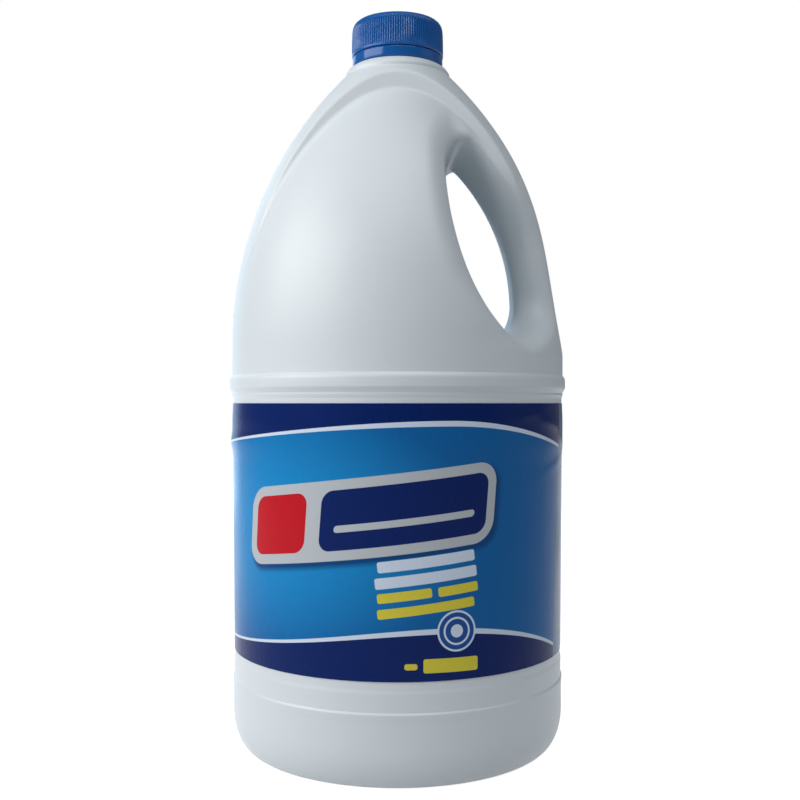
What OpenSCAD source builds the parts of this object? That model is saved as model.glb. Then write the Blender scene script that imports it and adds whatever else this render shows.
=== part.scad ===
// Bleach bottle: a blow-moulded 4 litre bottle with a hollow side handle, a screw cap with
// its liner, the tamper band that stays on the neck, and a wraparound film label.
// Origin: centre of the base, on the floor. +Z up, +X toward the handle, label front to -Y.

/* [Foot and body] */
// Radius of the ring that the bottle stands on
stand_r = 66.3; // [60:0.1:69]
// Width of the flat standing ring
stand_w = 5; // [3:0.5:8]
// Height that the middle of the base is pushed up
push_up = 7; // [4:0.5:12]
// Radius of the foot below the label
foot_r = 75.1; // [72:0.1:79]
// Height of the rounded corner of the foot
foot_corner_h = 17; // [12:0.5:22]
// Height of the soft crease round the foot
crease_z = 32; // [26:0.5:36]
// How far the crease stands proud of the foot
crease_rise = 0.35; // [0.2:0.05:0.8]
// Height of the lower edge of the recessed label panel
panel_z = 40.5; // [39:0.5:50]
// Height of the label panel
panel_h = 117; // [90:1:140]
// Radius of the label panel at its lower edge
panel_low_r = 74.5; // [71:0.1:76]
// Radius of the label panel at its upper edge
panel_high_r = 75.3; // [72:0.1:77]
// Height of the shoulder ring above the label panel
ring_h = 8; // [6:0.5:12]
// How far the shoulder ring stands proud of the foot of the dome
ring_rise = 1.1; // [0.8:0.1:3]
// Wall of the blown body
wall = 1.2; // [0.9:0.1:1.6]

/* [Dome] */
// Radius of the dome where it rises from the shoulder ring
dome_r = 75.8; // [74:0.1:76.4]
// Radius of the arc of the dome's outline
dome_arc_r = 176; // [160:1:200]
// Height of the straight foot of the dome above the shoulder ring
dome_lift = 14.5; // [12:0.5:20]
// Width of the border band at the collar, front to back
band_w = 55; // [50:1:60]
// How far the front and back panels of the dome lie inside the band at the collar
panel_step = 8; // [4:0.5:10]
// Height of the dome, from its straight foot, at which the panels leave the band
step_h = 30; // [20:1:50]

/* [Handle] */
// Width of the handle, front to back
grip_w = 38; // [32:0.5:42]
// Thickness of the handle, from the finger side to the outside
grip_t = 20; // [17:0.2:22]
// How far the outside of the handle lies within the outline of the dome
grip_inset = 3; // [1:0.2:4]
// Radius of the arc of the handle's finger side
grip_arc_r = 98; // [90:1:105]
// Width of the finger scoop, from the handle's axis to the body
scoop_w = 48.3; // [46:0.1:51]
// Height of the finger scoop below its widest place
scoop_h = 88.8; // [84:0.1:92]
// Height of the finger scoop above its widest place
scoop_top_h = 40; // [34:1:50]
// Rounding between the handle and the body at the parting plane
grip_blend = 6; // [4:0.5:9]
// Rounding of the long edges of the handle and of the scoop's side
edge_blend = 9; // [6:0.5:11]
// Rounding of the rim of the scoop's shelf and of the ridge at its top
rim_blend = 4; // [3:0.5:6]

/* [Neck] */
// Radius of the collar under the cap
collar_r = 24.1; // [23:0.1:26]
// Height of the collar's upright rim
collar_rim_h = 1.4; // [1:0.1:2.5]
// Height of the neck above the collar's upper face
neck_h = 17.9; // [16:0.1:22]
// Outer radius of the neck between its threads
neck_r = 17.4; // [16.5:0.1:18]
// Radius of the bore of the neck
bore_r = 15; // [13:0.1:15.5]
// Radius of the thread and of the bead that holds the tamper band
finish_r = 18.9; // [18.5:0.1:19.2]
// Height that one turn of the thread climbs
lead = 4.2; // [3.8:0.1:4.6]
// Turns of thread on the neck and in the cap
thread_turns = 1.4; // [1:0.05:1.5]

/* [Cap] */
// Outer radius of the cap at its lower edge
cap_r = 21.15; // [20.8:0.05:22]
// Inner radius of the cap's skirt
cap_bore_r = 19.4; // [19.3:0.05:19.6]
// Thickness of the cap's top
cap_top = 1.8; // [1.4:0.1:2.6]
// Rounding of the cap's upper edge
cap_round = 3.2; // [2:0.1:4]
// Number of grip ribs round the cap
rib_count = 120; // [90:1:140]
// Depth of the grip ribs
rib_d = 0.35; // [0.2:0.05:0.45]
// Thickness of the sealing disc in the cap
liner_t = 1.2; // [0.8:0.1:1.6]
// Height of the tamper band
band_h = 4.6; // [4:0.1:5]

/* [Label] */
// Height of the label film
label_h = 110; // [80:1:112]
// Height of the label's lower edge above the lower edge of the panel
label_lift = 4; // [2:0.5:5]
// Thickness of the label film
label_t = 0.15; // [0.1:0.01:0.3]
// Gap between the two ends of the label
label_gap = 6; // [2:0.5:12]
// Turn of that gap from the middle of the handle, toward the back
label_turn = -9.7; // [-20:0.1:20]

/* [Hidden] */
$fn = 96;

// Clearances between pieces that move or are slid over one another
run_gap = 0.3;
label_gap_r = 0.12;
// Steps that a small edge takes from one face to the next
edge = 0.6;

// Heights of the bevel above the label panel, of the slope above the collar's rim, and of the
// middle of the thread above the collar
panel_bevel_h = 2.6;
collar_slope_h = 3.2;
thread_rise = 8.4;

// Heights from the floor up
ring_z = panel_z + panel_h + panel_bevel_h;
dome_z = panel_z + panel_h + ring_h + dome_lift;
collar_z = dome_z + sqrt(pow(dome_arc_r, 2) - pow(dome_arc_r - dome_r + collar_r, 2));
collar_top_z = collar_z + collar_rim_h + collar_slope_h;
lip_z = collar_top_z + neck_h;
band_z = collar_top_z + run_gap;
cap_z = band_z + band_h + run_gap;
cap_top_z = lip_z + liner_t + cap_top;
shell_low_z = ring_z + ring_h / 2;
shell_high_z = collar_z + 0.7;

// Height of the dome up to the collar
dome_h = collar_z - dome_z;

// Middle of the handle's finger arc, and of the scoop's oval
finger_x = dome_r - grip_inset - grip_t - grip_arc_r;
finger_z = dome_z + 0.12 * dome_h;
scoop_x = dome_r - 0.39 * grip_t;
scoop_z = dome_z + 0.66 * dome_h;

// How the walls of the hole lean outward from the parting plane
body_lean = 0.04;
shelf_lean = 0.5;
top_lean = 0.5;
// Depth in front of the parting plane at which the scoop has its stated size
scoop_depth = 0.66 * dome_r;
// Rounding of the leaning walls where they cross the parting plane
parting_round = 0.05 * dome_r;
// Rounding between the flat sides and the finger side of the handle
side_blend = 0.34 * grip_w;
// How much wider the rounding between handle and body gets for each millimetre of depth
blend_growth = 0.35;
// How much wider the band gets for each millimetre below the collar
band_flare = 0.07;
// How much wider the handle is where it runs into the top of the dome
grip_flare = 0.42 * grip_w;
// Roundings along the upper and the lower edge of the step between band and panel
step_round = 2.2;
step_foot = 3;
// Distance from the handle to the middle of the hole's lower end
hole_end = 0.45 * grip_t;

// Thread ridges: width at root and crest, and steps in one turn
thread_root_w = 2.2;
thread_crest_w = 1.0;
thread_steps = 30;
cap_thread_r = cap_bore_r - 1.4;
thread_z = collar_top_z + thread_rise;

// Rows and columns of the lofted shell
rows_below = 5;
rows_hole = 17;
rows_above = 19;
columns_body = 22;
columns_grip = 10;

function smooth_max(a, b, k) = max(a, b) + pow(max(k - abs(a - b), 0), 2) / (4 * k);
function smooth_min(a, b, k) = -smooth_max(-a, -b, k);
function ramp(t) = let (c = min(max(t, 0), 1)) c * c * (3 - 2 * c);
function soft_abs(y) = sqrt(y * y + parting_round * parting_round) - parting_round;
function mix(a, b, t) = a + (b - a) * t;

// Radius of the dome's outline at height z
function dome_radius(z) =
    dome_r - dome_arc_r + sqrt(pow(dome_arc_r, 2) - pow(max(z - dome_z, 0), 2));

// Share of the dome's height that lies below z
function dome_share(z) = (z - dome_z) / dome_h;

// Half width of the border band, which follows the outline from the collar down both sides
function band_y(z) = band_w / 2 + band_flare * (collar_z - z);

// Half width of the handle
function grip_y(z) = grip_w / 2 + grip_flare * ramp((dome_share(z) - 0.34) / 0.32);

// How far the front and back panels lie inside the band
function panel_drop(z) = panel_step * pow(max(z - dome_z - step_h, 0) / (dome_h - step_h), 1.6);

// The functions below are negative inside the form, zero on its surface and positive outside

// How far the handle's outside lies within the dome's outline
function grip_dip(x, z) =
    let (along = pow(min(max((dome_share(z) + 0.03) / 0.8, 0), 1), 0.6))
    grip_inset * ramp((x / dome_r - 0.4) / 0.33) * pow(sin(180 * along), 2);

// Outside of the dome: the panels, and the band that stands proud of them in a steep step
function dome_form(p) =
    let (
        skin = norm([p[0], p[1]]) - dome_radius(p[2]) + grip_dip(p[0], p[2]),
        drop = panel_drop(p[2]),
        band = smooth_max(skin, abs(p[1]) - band_y(p[2]), step_round)
    )
    smooth_min(skin + drop, band, max(min(step_foot, 0.8 * drop), 0.01));

// Distance to the edge of the finger scoop, seen from the front
function scoop_edge(x, z) =
    let (
        h = z < scoop_z ? scoop_h : scoop_top_h,
        u = max(scoop_x - x, 0) / scoop_w,
        v = (z - scoop_z) / h,
        share = norm([u, v])
    )
    share < 0.05 ? -scoop_w : share * (share - 1) / norm([u / scoop_w, v / h]);

// What the scoop leaves of the body: its walls lean outward from the parting plane
function scooped_form(p) =
    let (lean = body_lean + shelf_lean * ramp(((p[0] - scoop_x) / scoop_w + 0.48) / 0.41))
    -scoop_edge(p[0], p[2]) - lean * (scoop_depth - soft_abs(p[1]));

// Flat sides and finger side of the handle
function grip_form(p) =
    let (rise = max(p[2] - finger_z - top_lean * soft_abs(p[1]), 0))
    smooth_max(abs(p[1]) - grip_y(p[2]), grip_arc_r - norm([p[0] - finger_x, rise]), side_blend);

// Rounding between the dome and the handle or the scoop: soft along both, crisp at the shelf and the ridge
function edge_round(p) =
    let (
        share = dome_share(p[2]),
        along = mix(rim_blend, edge_blend, ramp(share / 0.25)),
        ridge = ramp((share - 0.44) / 0.2) * ramp((p[0] / dome_r - 0.29) / 0.13)
    )
    mix(along, rim_blend, ridge);

function bottle_form(p) =
    let (blend = grip_blend + blend_growth * soft_abs(p[1]))
    smooth_max(dome_form(p), smooth_min(scooped_form(p), grip_form(p), blend), edge_round(p));

function form_normal(p) =
    let (
        d = 0.05,
        g = [
            bottle_form(p + [d, 0, 0]) - bottle_form(p - [d, 0, 0]),
            bottle_form(p + [0, d, 0]) - bottle_form(p - [0, d, 0]),
            bottle_form(p + [0, 0, d]) - bottle_form(p - [0, 0, d])
        ]
    )
    g / norm(g);

// Where f changes sign between a, inside, and b, outside, after n halvings
function crossing(f, a, b, n = 17) =
    let (m = (a + b) / 2)
    n == 0 ? m : f(m) < 0 ? crossing(f, m, b, n - 1) : crossing(f, a, m, n - 1);

// Where f peaks between a and b, after n steps
function peak(f, a, b, n = 24) =
    let (low = mix(a, b, 0.4), high = mix(a, b, 0.6))
    n == 0 ? (a + b) / 2 : f(low) < f(high) ? peak(f, low, b, n - 1) : peak(f, a, high, n - 1);

// Where the step runs across the row at height z, for a radius of the dome or of its panel.
// Above the step it stays a fair share of the radius, so that the columns keep their distance.
function step_x(z, radius, least) =
    max(sqrt(max(radius * radius - pow(band_y(z), 2), 0)), least * dome_radius(z));

// Middle of the finger hole at height z, in the parting plane: the place farthest outside the form.
// Above the scoop it moves to the foot of the step, which runs across the front there.
function hole_x(z) =
    let (
        start = min(scoop_x - scoop_w, 0.9 * dome_radius(z)),
        end = max(dome_radius(z) - grip_t - hole_end, start),
        middle = peak(function(x) bottle_form([x, 0, z]), start, end)
    )
    mix(middle, step_x(z, dome_radius(z) - panel_drop(z), 0.25), ramp((dome_share(z) - 0.8) / 0.08));

function hole_depth(z) = bottle_form([hole_x(z), 0, z]);

// Parting-plane ends of the two spans of a row: body, then handle
function row_spans(z, open) =
    let (
        left = -dome_radius(z),
        middle = hole_x(z),
        right = crossing(function(x) bottle_form([x, 0, z]), dome_radius(z) - grip_t / 2, dome_r + 9)
    )
    !open ? [[left, middle], [middle, right]] :
    [
        [left, crossing(function(x) bottle_form([x, 0, z]), 0, middle)],
        [-crossing(function(x) bottle_form([-x, 0, z]), -right + grip_t / 2, -middle), right]
    ];

// Places of the body's columns between the ends of its span. The first ones follow the band and its
// step, and the others crowd toward the hole.
function body_columns(span, z) =
    let (
        r = dome_radius(z),
        top = -step_x(z, r, 0.35),
        foot = max(-step_x(z, r - panel_drop(z), 0.25), top + 0.02 * r),
        gap = foot - top,
        first = [-r, mix(-r, top, 0.12), mix(-r, top, 0.5), top - 0.5 * gap, top, mix(top, foot, 0.5), foot,
                 foot + 0.7 * gap],
        last = first[len(first) - 1],
        turn_a = acos(-last / r),
        turn_b = acos(-span[1] / r),
        others = columns_body + 1 - len(first)
    )
    concat(
        first,
        [for (i = [1:others - 1]) -r * cos(mix(turn_a, turn_b, sin(90 * i / others)))],
        [span[1]]
    );

// Places of the handle's columns. Low down they crowd toward both edges, and near the top of the
// scoop they follow its ridge, the step and the band.
function grip_columns(span, z) =
    let (
        r = dome_radius(z),
        top = step_x(z, r, 0.35),
        foot = max(step_x(z, r - panel_drop(z), 0.25), mix(span[0], top, 0.7)),
        followed = [mix(span[0], foot, 0.8), foot, mix(foot, top, 0.5), top, mix(top, span[1], 0.5), span[1]],
        free = columns_grip + 1 - len(followed),
        high = ramp((dome_share(z) - 0.44) / 0.16)
    )
    [
        for (i = [0:columns_grip])
            let (
                even = mix(span[0], span[1], (1 - cos(180 * i / columns_grip)) / 2),
                along = i < free ? mix(span[0], followed[0], 1 - cos(90 * i / free)) : followed[i - free]
            )
            mix(even, along, high)
    ];

// Surface points above the given places; a closed end lies in the parting plane
function surface_points(places, z, closed_start, closed_end) = [
    for (i = [0:len(places) - 1])
        let (
            x = places[i],
            closed = (i == 0 && closed_start) || (i == len(places) - 1 && closed_end),
            flat = closed || bottle_form([x, 0, z]) >= 0
        )
        [x, flat ? 0 : crossing(function(y) bottle_form([x, y, z]), 0, dome_r + 9), z]
];

// One row of the front half, turned so that y is positive. At a tip of the hole its two edges meet.
function shell_row(z, tip) =
    let (
        open = !tip && hole_depth(z) > 0,
        spans = row_spans(z, open)
    )
    concat(
        surface_points(body_columns(spans[0], z), z, true, tip || open),
        surface_points(grip_columns(spans[1], z), z, tip || open, true)
    );

// Lofted shell of the dome and the handle: both mould halves, outside and inside
module dome_shell() {
    hole_mid_z = mix(dome_z, collar_z, 0.3);
    tip_low = crossing(function(z) -hole_depth(z), hole_mid_z, shell_low_z);
    tip_high = crossing(function(z) -hole_depth(z), hole_mid_z, collar_z);
    heights = concat(
        [for (i = [0:rows_below - 1]) mix(shell_low_z, tip_low, sin(90 * i / rows_below))],
        [for (i = [0:rows_hole]) mix(tip_low, tip_high, (1 - cos(180 * i / rows_hole)) / 2)],
        [for (i = [1:rows_above]) mix(tip_high, shell_high_z, sin(90 * pow(i / rows_above, 1.4)))]
    );
    rows = len(heights);
    across = columns_body + columns_grip + 2;
    half = [
        for (j = [0:rows - 1])
            each shell_row(heights[j], j == rows_below || j == rows_below + rows_hole)
    ];
    half_inside = [for (p = half) p - wall * form_normal(p)];
    count = len(half);
    points = concat(
        half, half_inside,
        [for (p = half) [p[0], -p[1], p[2]]],
        [for (p = half_inside) [p[0], -p[1], p[2]]]
    );
    quads = [
        for (j = [0:rows - 2], i = [0:across - 2])
            if (i != columns_body)
                let (k = j * across + i)
                [k, k + 1, k + 1 + across, k + across]
    ];
    rims = [
        for (i = [0:across - 2])
            if (i != columns_body)
                each [
                    [i, i + count, i + 1 + count, i + 1],
                    let (k = (rows - 1) * across + i) [k, k + 1, k + 1 + count, k + count]
                ]
    ];
    front = concat(quads, [for (q = quads) [q[3], q[2], q[1], q[0]] + count * [1, 1, 1, 1]], rims);
    back = [for (q = front) [q[3], q[2], q[1], q[0]] + 2 * count * [1, 1, 1, 1]];
    triangles = [for (q = concat(front, back)) each [[q[0], q[1], q[2]], [q[0], q[2], q[3]]]];
    polyhedron(points, triangles, convexity = 8);
}

// Outline moved to the left of its direction by d
function outline_inset(points, d) = [
    for (i = [0:len(points) - 1])
        let (
            along = points[min(i + 1, len(points) - 1)] - points[max(i - 1, 0)],
            left = [-along[1], along[0]] / norm(along)
        )
        points[i] + d * left
];

// Foot, label panel and shoulder ring, from the middle of the base up to the dome
module lower_body() {
    panel_top_z = panel_z + panel_h;
    ring_top_z = ring_z + ring_h;
    ring_r = dome_r + ring_rise;
    base = [
        for (i = [0:6])
            let (t = i / 6, r = t * (stand_r - stand_w - 3))
            [r, push_up * (1 - 0.75 * t * t)]
    ];
    corner = [
        for (a = [0:15:90])
            [stand_r + (foot_r - stand_r) * sin(a), foot_corner_h * (1 - cos(a))]
    ];
    outside = concat(
        base,
        [[stand_r - stand_w, 0]],
        corner,
        [
            [foot_r, crease_z - 2],
            [foot_r + crease_rise, crease_z - edge],
            [foot_r + crease_rise, crease_z + edge],
            [foot_r - 0.2, crease_z + 2],
            [foot_r - 0.2, panel_z - edge],
            [panel_low_r, panel_z + edge],
            [panel_high_r, panel_top_z - edge],
            [dome_r, panel_top_z + edge],
            [dome_r, ring_z - edge],
            [ring_r, ring_z + edge],
            [ring_r, ring_top_z - 2],
            [dome_r + 0.4, ring_top_z],
            [dome_r - wall / 2, ring_top_z]
        ]
    );
    inside = outline_inset([for (i = [0:len(outside) - 5]) outside[i]], wall);
    ring_inside = [
        [dome_r - 1.5 * wall, ring_z],
        [dome_r - 1.5 * wall, ring_top_z]
    ];
    inside_all = concat([[0, inside[0][1]]], [for (i = [1:len(inside) - 1]) inside[i]], ring_inside);
    rotate_extrude()
        polygon(concat(outside, [for (i = [len(inside_all) - 1:-1:0]) inside_all[i]]));
}

// Neck with its bore, collar, tamper bead and rounded lip
module neck() {
    bead_z = band_z + 2;
    rim_z = collar_z + collar_rim_h;
    root_z = collar_z - 2;
    rotate_extrude()
        polygon([
            [bore_r, collar_z - 0.5],
            [dome_radius(root_z) - 2 * wall, root_z - 1],
            [dome_radius(root_z) - 0.7 * wall, root_z],
            [collar_r - 0.7 * wall, collar_z],
            [collar_r, collar_z],
            [collar_r, rim_z],
            [collar_r - 1, rim_z + 1.8],
            [cap_r - 0.3, collar_top_z],
            [neck_r, collar_top_z],
            [neck_r, bead_z],
            [finish_r, bead_z + 0.3],
            [finish_r, bead_z + 0.9],
            [neck_r, bead_z + 1.8],
            [neck_r, lip_z - edge],
            [neck_r - edge, lip_z],
            [bore_r + edge / 2, lip_z],
            [bore_r, lip_z - edge / 2]
        ]);
}

// Trapezoid ridge that winds up round the Z axis and runs out at both ends
module thread_ridge(root_r, crest_r) {
    steps = round(thread_turns * thread_steps);
    ends = 4;
    rings = [
        for (i = [0:steps])
            let (
                a = 360 * i / thread_steps,
                out = mix(root_r, crest_r, max(min(i, steps - i, ends) / ends, 0.35)),
                z = lead * i / thread_steps
            )
            for (s = [[root_r, -thread_root_w], [out, -thread_crest_w],
                      [out, thread_crest_w], [root_r, thread_root_w]])
                [s[0] * cos(a), s[0] * sin(a), z + s[1] / 2]
    ];
    turn_in = crest_r > root_r ? [0, 1, 2, 3] : [3, 2, 1, 0];
    sides = [
        for (i = [0:steps - 1], k = [0:3])
            let (
                a = 4 * i + turn_in[k],
                b = 4 * i + turn_in[(k + 1) % 4]
            )
            each [[a, b, b + 4], [a, b + 4, a + 4]]
    ];
    polyhedron(
        rings,
        concat(sides, [
            [for (k = [3:-1:0]) turn_in[k]],
            [for (k = [0:3]) 4 * steps + turn_in[k]]
        ]),
        convexity = 6
    );
}

module bottle() {
    color("gainsboro") {
        lower_body();
        dome_shell();
        neck();
        translate([0, 0, thread_z])
            thread_ridge(neck_r - 0.5, finish_r);
    }
}

module tamper_band() {
    color("royalblue")
        rotate_extrude()
            polygon([
                [cap_bore_r - 0.2, band_z],
                [cap_r - run_gap, band_z],
                [cap_r - run_gap, band_z + band_h],
                [cap_bore_r + 0.1, band_z + band_h],
                [cap_bore_r + 0.1, band_z + 1.6],
                [finish_r - 0.8, band_z + 1.6],
                [finish_r - 0.8, band_z + 1]
            ]);
}

module cap() {
    rib_low = cap_z + 1.2;
    rib_high = cap_top_z - cap_round - 1.2;
    core_r = cap_r - rib_d;
    top_r = core_r - 0.3;
    color("royalblue") {
        rotate_extrude()
            polygon(concat(
                [
                    [cap_bore_r, cap_z],
                    [cap_r, cap_z],
                    [cap_r, rib_low],
                    [core_r, rib_low + 0.3],
                    [core_r, rib_high]
                ],
                [
                    for (a = [0:15:90])
                        [top_r - cap_round * (1 - cos(a)), cap_top_z - cap_round * (1 - sin(a))]
                ],
                [
                    [0, cap_top_z],
                    [0, cap_top_z - cap_top],
                    [cap_bore_r, cap_top_z - cap_top]
                ]
            ));
        translate([0, 0, rib_low])
            linear_extrude(rib_high - rib_low)
                difference() {
                    polygon([
                        for (i = [0:2 * rib_count - 1])
                            let (a = 180 * i / rib_count, r = i % 2 == 0 ? cap_r - 0.05 : core_r - 0.1)
                            r * [cos(a), sin(a)]
                    ]);
                    circle(core_r - 0.6);
                }
        translate([0, 0, thread_z - lead / 2])
            thread_ridge(cap_bore_r + 0.5, cap_thread_r);
    }
}

module cap_liner() {
    color("whitesmoke")
        translate([0, 0, lip_z])
            cylinder(r = cap_bore_r - run_gap, h = liner_t);
}

module label() {
    low_z = panel_z + label_lift;
    high_z = low_z + label_h;
    slope = (panel_high_r - panel_low_r) / panel_h;
    low_r = panel_low_r + slope * label_lift + label_gap_r;
    high_r = low_r + slope * label_h;
    gap_angle = label_gap / panel_high_r * 180 / PI;
    color("navy")
        rotate([0, 0, label_turn + gap_angle / 2])
            rotate_extrude(angle = 360 - gap_angle)
                polygon([
                    [low_r, low_z],
                    [low_r + label_t, low_z],
                    [high_r + label_t, high_z],
                    [high_r, high_z]
                ]);
}

bottle();
tamper_band();
cap();
cap_liner();
label();
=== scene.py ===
# %% [markdown]
# # A bleach bottle, dressed in Blender
#
# The bottle is one blow-moulded shell of satin plastic with a hollow side handle. A ribbed
# screw cap closes it, a smooth tamper band sits under the cap, and a glossy printed film
# goes round its body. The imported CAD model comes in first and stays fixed. Each visible
# piece is then built again with finer rows and softer edges, in the same place.

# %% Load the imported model
import math

import bmesh
import bpy
import numpy as np
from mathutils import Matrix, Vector


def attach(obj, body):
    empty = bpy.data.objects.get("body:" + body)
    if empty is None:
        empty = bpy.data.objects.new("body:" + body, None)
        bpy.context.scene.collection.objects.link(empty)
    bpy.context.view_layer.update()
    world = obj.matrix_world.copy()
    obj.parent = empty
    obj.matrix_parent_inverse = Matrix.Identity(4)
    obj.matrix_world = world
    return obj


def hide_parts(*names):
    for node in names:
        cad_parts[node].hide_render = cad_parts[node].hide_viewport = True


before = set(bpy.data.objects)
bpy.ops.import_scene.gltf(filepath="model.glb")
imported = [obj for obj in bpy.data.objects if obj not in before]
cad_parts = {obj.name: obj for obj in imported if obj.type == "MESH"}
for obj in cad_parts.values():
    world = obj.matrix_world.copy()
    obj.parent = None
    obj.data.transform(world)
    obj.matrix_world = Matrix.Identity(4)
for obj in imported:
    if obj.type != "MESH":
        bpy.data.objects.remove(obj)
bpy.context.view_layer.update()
MM = 0.001

# %% [markdown]
# ## Camera
#
# The picture was taken from close by, with the lens level and a little below the middle of
# the bottle. The base, the label's edges and the collar are level circles, and how far each
# one bends in the picture gives the lens height and its distance. Half a metre away explains
# all of them.

# %% Camera
IMAGE_PX = 800
FOCAL_PX = 1060
CAMERA_DISTANCE = 492.5 * MM
CAMERA_HEIGHT = 154.4 * MM
AXIS_PX = 397.5
HORIZON_PX = 403.5

camera_data = bpy.data.cameras.new("camera")
camera_data.lens = FOCAL_PX / IMAGE_PX * camera_data.sensor_width
camera_data.shift_y = (HORIZON_PX - IMAGE_PX / 2) / IMAGE_PX
camera = bpy.data.objects.new("camera", camera_data)
camera.location = (
    (IMAGE_PX / 2 - AXIS_PX) * CAMERA_DISTANCE / FOCAL_PX,
    -CAMERA_DISTANCE,
    CAMERA_HEIGHT,
)
camera.rotation_euler = (math.radians(90), 0, 0)
bpy.context.collection.objects.link(camera)
bpy.context.scene.camera = camera
print("lens", round(camera_data.lens, 2), "mm")

# %% [markdown]
# ## Shader expressions
#
# A finish is easier to read as a formula than as a pile of linked nodes. `Wire` holds one
# output of a node and answers to Python's operators, so `1 - mask` adds the Math node that
# works it out. `Finish` holds a material: its `node` method makes any other node from a type,
# its settings and its inputs.


# %% Wires and finishes
class Wire:
    """One output of a node, for use in a formula."""

    def __init__(self, finish, socket):
        self.finish, self.socket = finish, socket

    def math(self, operation, *values):
        inputs = dict(enumerate(values))
        return self.finish.node("ShaderNodeMath", {"operation": operation}, inputs)

    def __add__(self, other):
        return self.math("ADD", self, other)

    def __sub__(self, other):
        return self.math("SUBTRACT", self, other)

    def __mul__(self, other):
        return self.math("MULTIPLY", self, other)

    def __truediv__(self, other):
        return self.math("DIVIDE", self, other)

    def __rsub__(self, other):
        return self.math("SUBTRACT", other, self)

    def __rtruediv__(self, other):
        return self.math("DIVIDE", other, self)

    def __gt__(self, other):
        return self.math("GREATER_THAN", self, other)

    def __lt__(self, other):
        return self.math("LESS_THAN", self, other)

    def __abs__(self):
        return self.math("ABSOLUTE", self)

    __radd__ = __add__
    __rmul__ = __mul__

    def low(self, other):
        return self.math("MINIMUM", self, other)

    def high(self, other):
        return self.math("MAXIMUM", self, other)

    def clamp(self):
        return self.high(0).low(1)

    def root(self):
        return self.math("SQRT", self)


class Finish:
    """A material whose nodes are made by formulas."""

    def __init__(self, name):
        self.material = bpy.data.materials.new(name)
        self.material.use_nodes = True
        self.tree = self.material.node_tree
        self.shader = self.tree.nodes["Principled BSDF"]

    def node(self, kind, settings, inputs, output=0):
        made = self.tree.nodes.new(kind)
        for key, value in settings.items():
            setattr(made, key, value)
        for key, value in inputs.items():
            self.feed(made, key, value)
        if isinstance(output, str):
            output = [s.identifier for s in made.outputs].index(output)
        return Wire(self, made.outputs[output])

    def feed(self, node, key, value):
        if isinstance(key, str):
            key = [s.identifier for s in node.inputs].index(key)
        if isinstance(value, Wire):
            self.tree.links.new(value.socket, node.inputs[key])
        else:
            node.inputs[key].default_value = value

    def place(self):
        """Coordinates in millimetres, fixed to the piece."""
        where = self.node("ShaderNodeTexCoord", {}, {}, "Object")
        return self.node(
            "ShaderNodeVectorMath", {"operation": "SCALE"}, {0: where, "Scale": 1 / MM}
        )

    def axes(self, where):
        """The three coordinates of a place, each as a wire."""
        return [self.node("ShaderNodeSeparateXYZ", {}, {0: where}, i) for i in range(3)]

    def noise(self, where, size, detail=2.0, stretch=(1, 1, 1)):
        """Soft noise from 0 to 1 whose blots are about size millimetres across."""
        scaled = self.node(
            "ShaderNodeVectorMath",
            {"operation": "MULTIPLY"},
            {0: where, 1: tuple(s / size for s in stretch)},
        )
        return self.node(
            "ShaderNodeTexNoise", {}, {"Vector": scaled, "Scale": 1.0, "Detail": detail}
        )

    def blend(self, mask, under, over):
        """Colour `over` laid on `under` where the mask is 1."""
        under, over = [
            c if isinstance(c, Wire) else (*c, 1.0) for c in (under, over)
        ]
        return self.node(
            "ShaderNodeMix",
            {"data_type": "RGBA"},
            {"Factor_Float": mask, "A_Color": under, "B_Color": over},
            "Result_Color",
        )

    def bump(self, height, depth_mm, strength=1.0):
        """Height from 0 to 1, laid on as a relief of the given depth."""
        return self.node(
            "ShaderNodeBump",
            {},
            {"Height": height, "Distance": depth_mm * MM, "Strength": strength},
        )

    def surface(self, **sockets):
        """Values or wires for the shader's own sockets."""
        for key, value in sockets.items():
            name = key.replace("_", " ")
            if isinstance(value, tuple):
                value = (*value, 1.0)
            self.feed(self.shader, name, value)


print("formula helpers ready")

# %% [markdown]
# ## Studio
#
# The bottle stands on a pale floor against white. One wide soft window on the left gives the
# broad highlight on the dome, and a large panel overhead lights the shoulders. Two weak fills,
# one on the right and one behind, keep the handle's hollow from going black, and the room
# itself adds a little from all sides. The white behind the bottle belongs to the camera
# alone: it comes from Light Path, so that no extra light falls on the plastic.

# %% Floor
FLOOR_HALF = 3.0
floor_mesh = bpy.data.meshes.new("floor")
floor_mesh.from_pydata(
    [(x * FLOOR_HALF, y * FLOOR_HALF, 0) for x, y in ((-1, -1), (1, -1), (1, 1), (-1, 1))],
    [],
    [(0, 1, 2, 3)],
)
floor = bpy.data.objects.new("floor", floor_mesh)
bpy.context.collection.objects.link(floor)

floor_finish = Finish("pale_floor")
floor_finish.surface(Base_Color=(0.58, 0.59, 0.6), Roughness=0.7)
seen = floor_finish.node("ShaderNodeLightPath", {}, {}, "Is Camera Ray")
glossy = floor_finish.node("ShaderNodeLightPath", {}, {}, "Is Glossy Ray")
floor_finish.surface(
    Emission_Color=floor_finish.blend(seen.high(glossy), (0, 0, 0), (0.9, 0.9, 0.9)),
    Emission_Strength=1.0,
)
floor_mesh.materials.append(floor_finish.material)
print("floor", 2 * FLOOR_HALF, "m square")

# %% World and lights
ROOM_LIGHT = (0.182, 0.194, 0.208, 1.0)
LIGHTS_AIM = Vector((0, 0, 0.17))

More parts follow.
